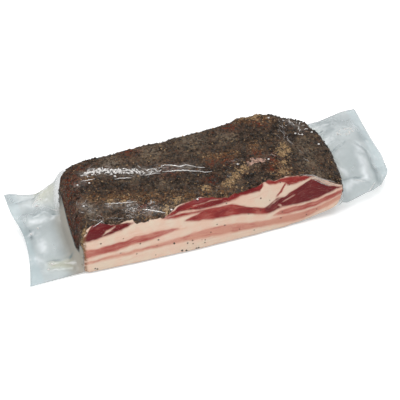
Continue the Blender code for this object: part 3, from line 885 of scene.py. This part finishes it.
# %% Finish of the film
film_finish, shader = start_material("film_finish")
where = place_in_mm()
clouds = cloud(where, 13.0)
veil_share, haze_share = attribute("veil"), attribute("haze")
milky_and_highlight_share = math_node("MAXIMUM", times(attribute("milky_and_highlight"), 0.7), times(attribute("ridge_glow"), 0.6))
# Painted shade of the shaded streaks and the fold valleys.
painted_shade_share = math_node("MAXIMUM", times(attribute("shaded"), 0.6), attribute("valley_shade"))
tint = (0.37, 0.425, 0.43)
# Shaded streaks are painted shade, milky streaks are partly painted highlight, and haze is partly painted reflection.
for share, tint_there in (
    (attribute("seal"), (0.37, 0.46, 0.48)), (times(attribute("warm"), 0.85), (0.41, 0.41, 0.26)),
    (veil_share, (0.36, 0.33, 0.28)), (painted_shade_share, (0.13, 0.185, 0.20)),
    (times(milky_and_highlight_share, step(clouds, 0.25, 0.55)), (0.85, 0.88, 0.90)),
    (step(haze_share, 0.0, 0.1), (0.46, 0.42, 0.38)),
):
    tint = mix(share, tint, tint_there)

edge_on = add_node("ShaderNodeLayerWeight", {"Blend": 0.15}).outputs["Facing"]
gathered = step(cloud(where, 3.2, 3.0, 0.6), 0.42, 0.66)
opacity = 0.004
for share, density in (
    (attribute("loose"), times_add(clouds, 0.20, 0.36)), (veil_share, 0.42), (milky_and_highlight_share, 0.20), (painted_shade_share, 0.10),
    (edge_on, 0.06), (haze_share, times_add(gathered, 0.24, 0.04)),
):
    opacity = times_add(share, density, opacity)
fill_inputs(shader, {
    "Base Color": tint,
    "Alpha": math_node("MINIMUM", opacity, 0.93),
    "Roughness": 0.30,
    "Normal": bump(cloud(where, 5.0), 0.3, 0.6),
})
film.data.materials.append(film_finish)

# %% [markdown]
# Pleats and painted highlights. Sucked tight, the film gathers into hair-thin pleats. They are glossy, and their
# whitish colour is partly the milky look of gathered film and partly painted highlight; the round dots and the ring on
# the right end are painted glints. Each is a stroke of a curve, pointed at both ends, laid on the film and turned into
# a mesh. It lies where a line of sight from the camera, through a place on the slab, meets the film. Long pleats are
# single strokes. A crumpled stretch is many short ones, drawn at random along a line.

# %% Pleats and painted highlights in the film
PLEAT_STEP = 1.2
film_skin = BVHTree.FromObject(film, bpy.context.evaluated_depsgraph_get())
draw = np.random.default_rng(21)


def touch_film(x, y, z):
    """Where the line of sight through a place on the slab meets the film, and the film's normal there."""
    return film_skin.ray_cast(on_slab(x, y, z) - 0.3 * forward, forward)[:2]


def stroke_points(ends, z, bend):
    """Points every millimetre or so along a chain of places, with a little sideways unrest. A place may have a height
    of its own."""
    chain = [np.array((*end, z)[:3], float) for end in ends]
    points = []
    for start, end in zip(chain[:-1], chain[1:]):
        count = max(2, int(np.linalg.norm(end - start) / PLEAT_STEP))
        for number in range(count):
            points.append(start + (end - start) * number / count + (*draw.normal(0, bend, 2), 0.0))
    points.append(chain[-1])
    return points


def pleats(name, strokes):
    """One mesh of many strokes. A stroke is (thickness in millimetres, points (x, y, z))."""
    bpy.ops.curve.primitive_nurbs_path_add()
    made = bpy.context.object
    made.name = made.data.name = name
    made.data.splines.clear()
    for thickness, points in strokes:
        placed = [hit for hit in (touch_film(*point) for point in points) if hit[0] is not None]
        if len(placed) < 3:
            continue
        spline = made.data.splines.new("POLY")
        spline.points.add(len(placed) - 1)
        for number, (place, normal) in enumerate(placed):
            share = number / (len(placed) - 1)
            swell = math.sin(math.pi * (0.06 + 0.88 * share))
            spline.points[number].co = (*(place + normal * 0.1 * thickness * MM), 1.0)
            spline.points[number].radius = 0.5 * thickness * swell
    made.data.bevel_depth = MM
    made.data.bevel_resolution = 0
    made.data.use_fill_caps = True
    pick(made)
    bpy.ops.object.convert(target="MESH")
    made.data.shade_smooth()
    return made


def crumpled(line, z, count, length, slant, spread, thickness):
    """Short strokes scattered along a line. Length and thickness are (smallest, largest), and slant is in degrees."""
    chain = np.array(line, float)
    sizes = np.linalg.norm(np.diff(chain, axis=0), axis=1)
    run = np.concatenate([[0.0], np.cumsum(sizes)])
    made = []
    for _ in range(count):
        at = draw.uniform(0, run[-1])
        part = min(np.searchsorted(run, at, side="right") - 1, len(sizes) - 1)
        heading = (chain[part + 1] - chain[part]) / sizes[part]
        middle = chain[part] + heading * (at - run[part]) + draw.normal(0, spread, 2)
        turn = math.radians(draw.normal(0, slant))
        heading = np.array((heading[0] * math.cos(turn) - heading[1] * math.sin(turn),
                            heading[0] * math.sin(turn) + heading[1] * math.cos(turn)))
        half = 0.5 * draw.uniform(*length) * heading
        made.append((draw.uniform(*thickness), stroke_points((middle - half, middle + half), z, 0.15)))
    return made


MAIN_LINE = [(26, 79), (43, 78), (54, 74), (62, 71), (70, 69), (82, 60), (98, 60)]
painted_glint_strokes = crumpled(MAIN_LINE[:5], 58.5, 78, (1.8, 5.0), 50, 2.6, (0.5, 1.5))
painted_glint_strokes += crumpled(MAIN_LINE[4:], 59.5, 26, (2.0, 6.0), 38, 2.6, (0.4, 1.2))
painted_glint_strokes += crumpled(MAIN_LINE[:6], 58.5, 46, (1.6, 3.2), 60, 3.2, (1.4, 2.8))
for thickness, z, ends in (
    (1.1, 60, [(98, 60.5), (106, 63.5), (113, 60), (120, 55.5), (125.6, 56.5), (135, 49)]),
    (1.3, 60, [(100, 54), (105, 52.6), (120, 49), (134, 42)]),
    (0.8, 59.5, [(81, 55), (90, 54.6), (98, 53.3)]),
    (1.0, 58.5, [(25.5, 80), (31, 78.8), (39.5, 81)]),
    (1.0, 58.5, [(52, 60.7), (59, 59.6), (69, 57.2)]),
    (0.8, 59, [(75, 62.2), (82, 63.3)]),
    (0.8, 58, [(20, 69.6), (27, 68.4), (35, 68.7)]),
    (0.7, 60, [(131, 44.3), (136, 41.5), (139.4, 38.7), (147, 37.6)]),
    (0.7, 60, [(133, 49.6), (142, 45.4)]),
    (0.8, 58, [(32, 27.6), (46, 23.8), (62.5, 20.3)]),
    (0.7, 58, [(76.3, 18.6), (74.5, 12.5)]),
    (1.0, 57.5, [(63, 7.4), (72, 3.3), (84, -5.8)]),
    (0.6, 54, [(12.4, 2.6), (18.3, 5.3), (24.5, 8.8)]),
    (0.9, 26, [(-27.4, 84.7, 26.9), (-23.9, 88.4, 28.5), (-18.1, 96.7, 25.1)]),
    (0.8, 26, [(-25, 85, 26.6), (-17.6, 87.5, 23.8)]),
    (0.6, 26, [(-9, 81.8, 21.7), (-5.8, 74.7, 24.4), (-2.1, 59.6, 35.4)]),
    (1.0, 9, [(-29.6, 17.6, 8.8), (-27.6, 14.2, 8.4), (-22.5, 14.2, 9)]),
    (0.9, 9, [(-16, 12, 9.4), (-9.8, 9.3, 9.6), (-4.6, 6, 10.8)]),
    (0.9, 31, [(319.4, 90.2, 31.1), (320.2, 85.6, 30.4), (316, 84, 30)]),
    (0.7, 16, [(297.9, 25.2, 17.5), (303.7, 24.7, 15.8), (308.9, 21.1, 15.2)]),
    (0.8, 13, [(307, 7.3, 12.8), (313.9, 13.4, 13.7), (318.8, 17.9, 14)]),
):
    painted_glint_strokes.append((thickness, stroke_points(ends, z, 0.25)))
# Round dots of painted highlight.
for x, y, z in ((54, 76, 58.5), (52, 69.6, 58.5), (62.4, 72.7, 58.5), (43, 78, 58.5), (69, 70, 58.5), (16, 65.6, 57),
                (27.7, 64.8, 57), (90, -2.4, 57.5), (12.1, 31.7, 57.5), (119, 4, 57.5), (233, 103, 59),
                (249, 68.7, 59), (255, 64.7, 59), (267, 67.5, 57), (266.6, 48.7, 55), (174, 38.4, 61),
                (205.7, 35.4, 61), (-18.5, 95.5, 25), (-13.5, 97, 23.5), (-21.5, 87, 25), (-28.6, 59.6, 19.3),
                (-36.7, 56.5, 16.5), (-27, 15.5, 8.5), (-32, 11.5, 6)):
    painted_glint_strokes.append((2.2, [(x - 1.1, y, z), (x - 0.4, y + 0.2, z), (x + 0.4, y - 0.2, z), (x + 1.1, y, z)]))
painted_glint_strokes += crumpled([(246, 92), (256, 88), (262, 80), (256, 68)], 59, 26, (1.5, 4.0), 60, 3.0, (0.5, 1.2))
# A ring of painted highlight on the right end's fold.
RING = [(306, 90), (312, 93), (318, 93), (324, 91), (324, 87), (318, 84), (313, 85), (306, 87), (306, 90)]
painted_glint_strokes += crumpled(RING, 31.5, 20, (1.5, 4.0), 35, 0.7, (0.7, 1.5))

# Fainter greyish pleats, partly painted highlight.
faint_pleats_and_highlights = crumpled(MAIN_LINE, 58.8, 60, (3.0, 9.0), 25, 4.0, (0.3, 0.7))
faint_pleats_and_highlights += crumpled([(14, 40), (14, 20), (22, 4)], 57, 26, (3.0, 9.0), 40, 4.0, (0.3, 0.8))
faint_pleats_and_highlights += crumpled([(30, 10), (55, 2), (75, 6)], 57, 16, (4.0, 12.0), 12, 3.0, (0.3, 0.6))
faint_pleats_and_highlights += crumpled([(110, 24), (140, 14), (180, 34), (206, 36)], 61, 14, (2.0, 5.0), 50, 5.0, (0.3, 0.6))
faint_pleats_and_highlights += crumpled([(238, 98), (238, 60), (243, 24)], 59, 20, (5.0, 12.0), 20, 3.0, (0.3, 0.6))
for thickness, ends in (
    (1.6, [(226, 2, 61), (229.7, 2, 59.3), (239.5, 1.9, 56.5), (249.7, -0.2, 50.7), (264.6, -0.8, 42.9)]),
    (1.1, [(238.6, -0.5, 53.9), (249.7, -1, 45.5), (259.8, -1.2, 38.7)]),
    (0.9, [(233, 0, 58.5), (244, 0, 52), (256, -1, 44), (268, -1, 38)]),
):
    faint_pleats_and_highlights.append((thickness, stroke_points(ends, 50, 0.2)))
painted_film_glints = pleats("painted_film_glints", painted_glint_strokes)
film_pleats_and_highlights = pleats("film_pleats_and_highlights", faint_pleats_and_highlights)


def pleat_and_highlight_finish(name, colour, share, roughness):
    """Gathered film: glossy and part clear, whitish partly by its milkiness and partly as painted highlight."""
    material, shader = start_material(name)
    mottle = cloud(place_in_mm(), 1.5)
    fill_inputs(shader, {
        "Base Color": mix(mottle, [0.8 * value for value in colour], colour),
        "Alpha": times_add(mottle, 0.4, share - 0.2),
        "Roughness": roughness,
    })
    return material


painted_film_glints.data.materials.append(pleat_and_highlight_finish("painted_glint_finish", (0.95, 0.91, 0.88), 0.78, 0.12))
film_pleats_and_highlights.data.materials.append(pleat_and_highlight_finish("pleat_and_highlight_finish", (0.62, 0.57, 0.54), 0.40, 0.15))
print("pleats:", len(painted_film_glints.data.polygons), "and", len(film_pleats_and_highlights.data.polygons), "faces")

# %% [markdown]
# Last, every piece is attached to the pack's one body, and the imported solid is hidden; the part named beside each
# piece is not used. All the new pieces together stand for the pack's one solid.

# %% Join the pieces to the model
for piece, slot in (
    (pork, "packed_pork"), (film, "film"), (painted_film_glints, "film"), (film_pleats_and_highlights, "film"), (cracked_pepper, "pepper"),
    (pepper_husks, "pepper"), (ochre_crumbs, "pepper"), (cut_specks, "pepper"),
):
    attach(piece, "root")
    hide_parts("vacuum_pack")
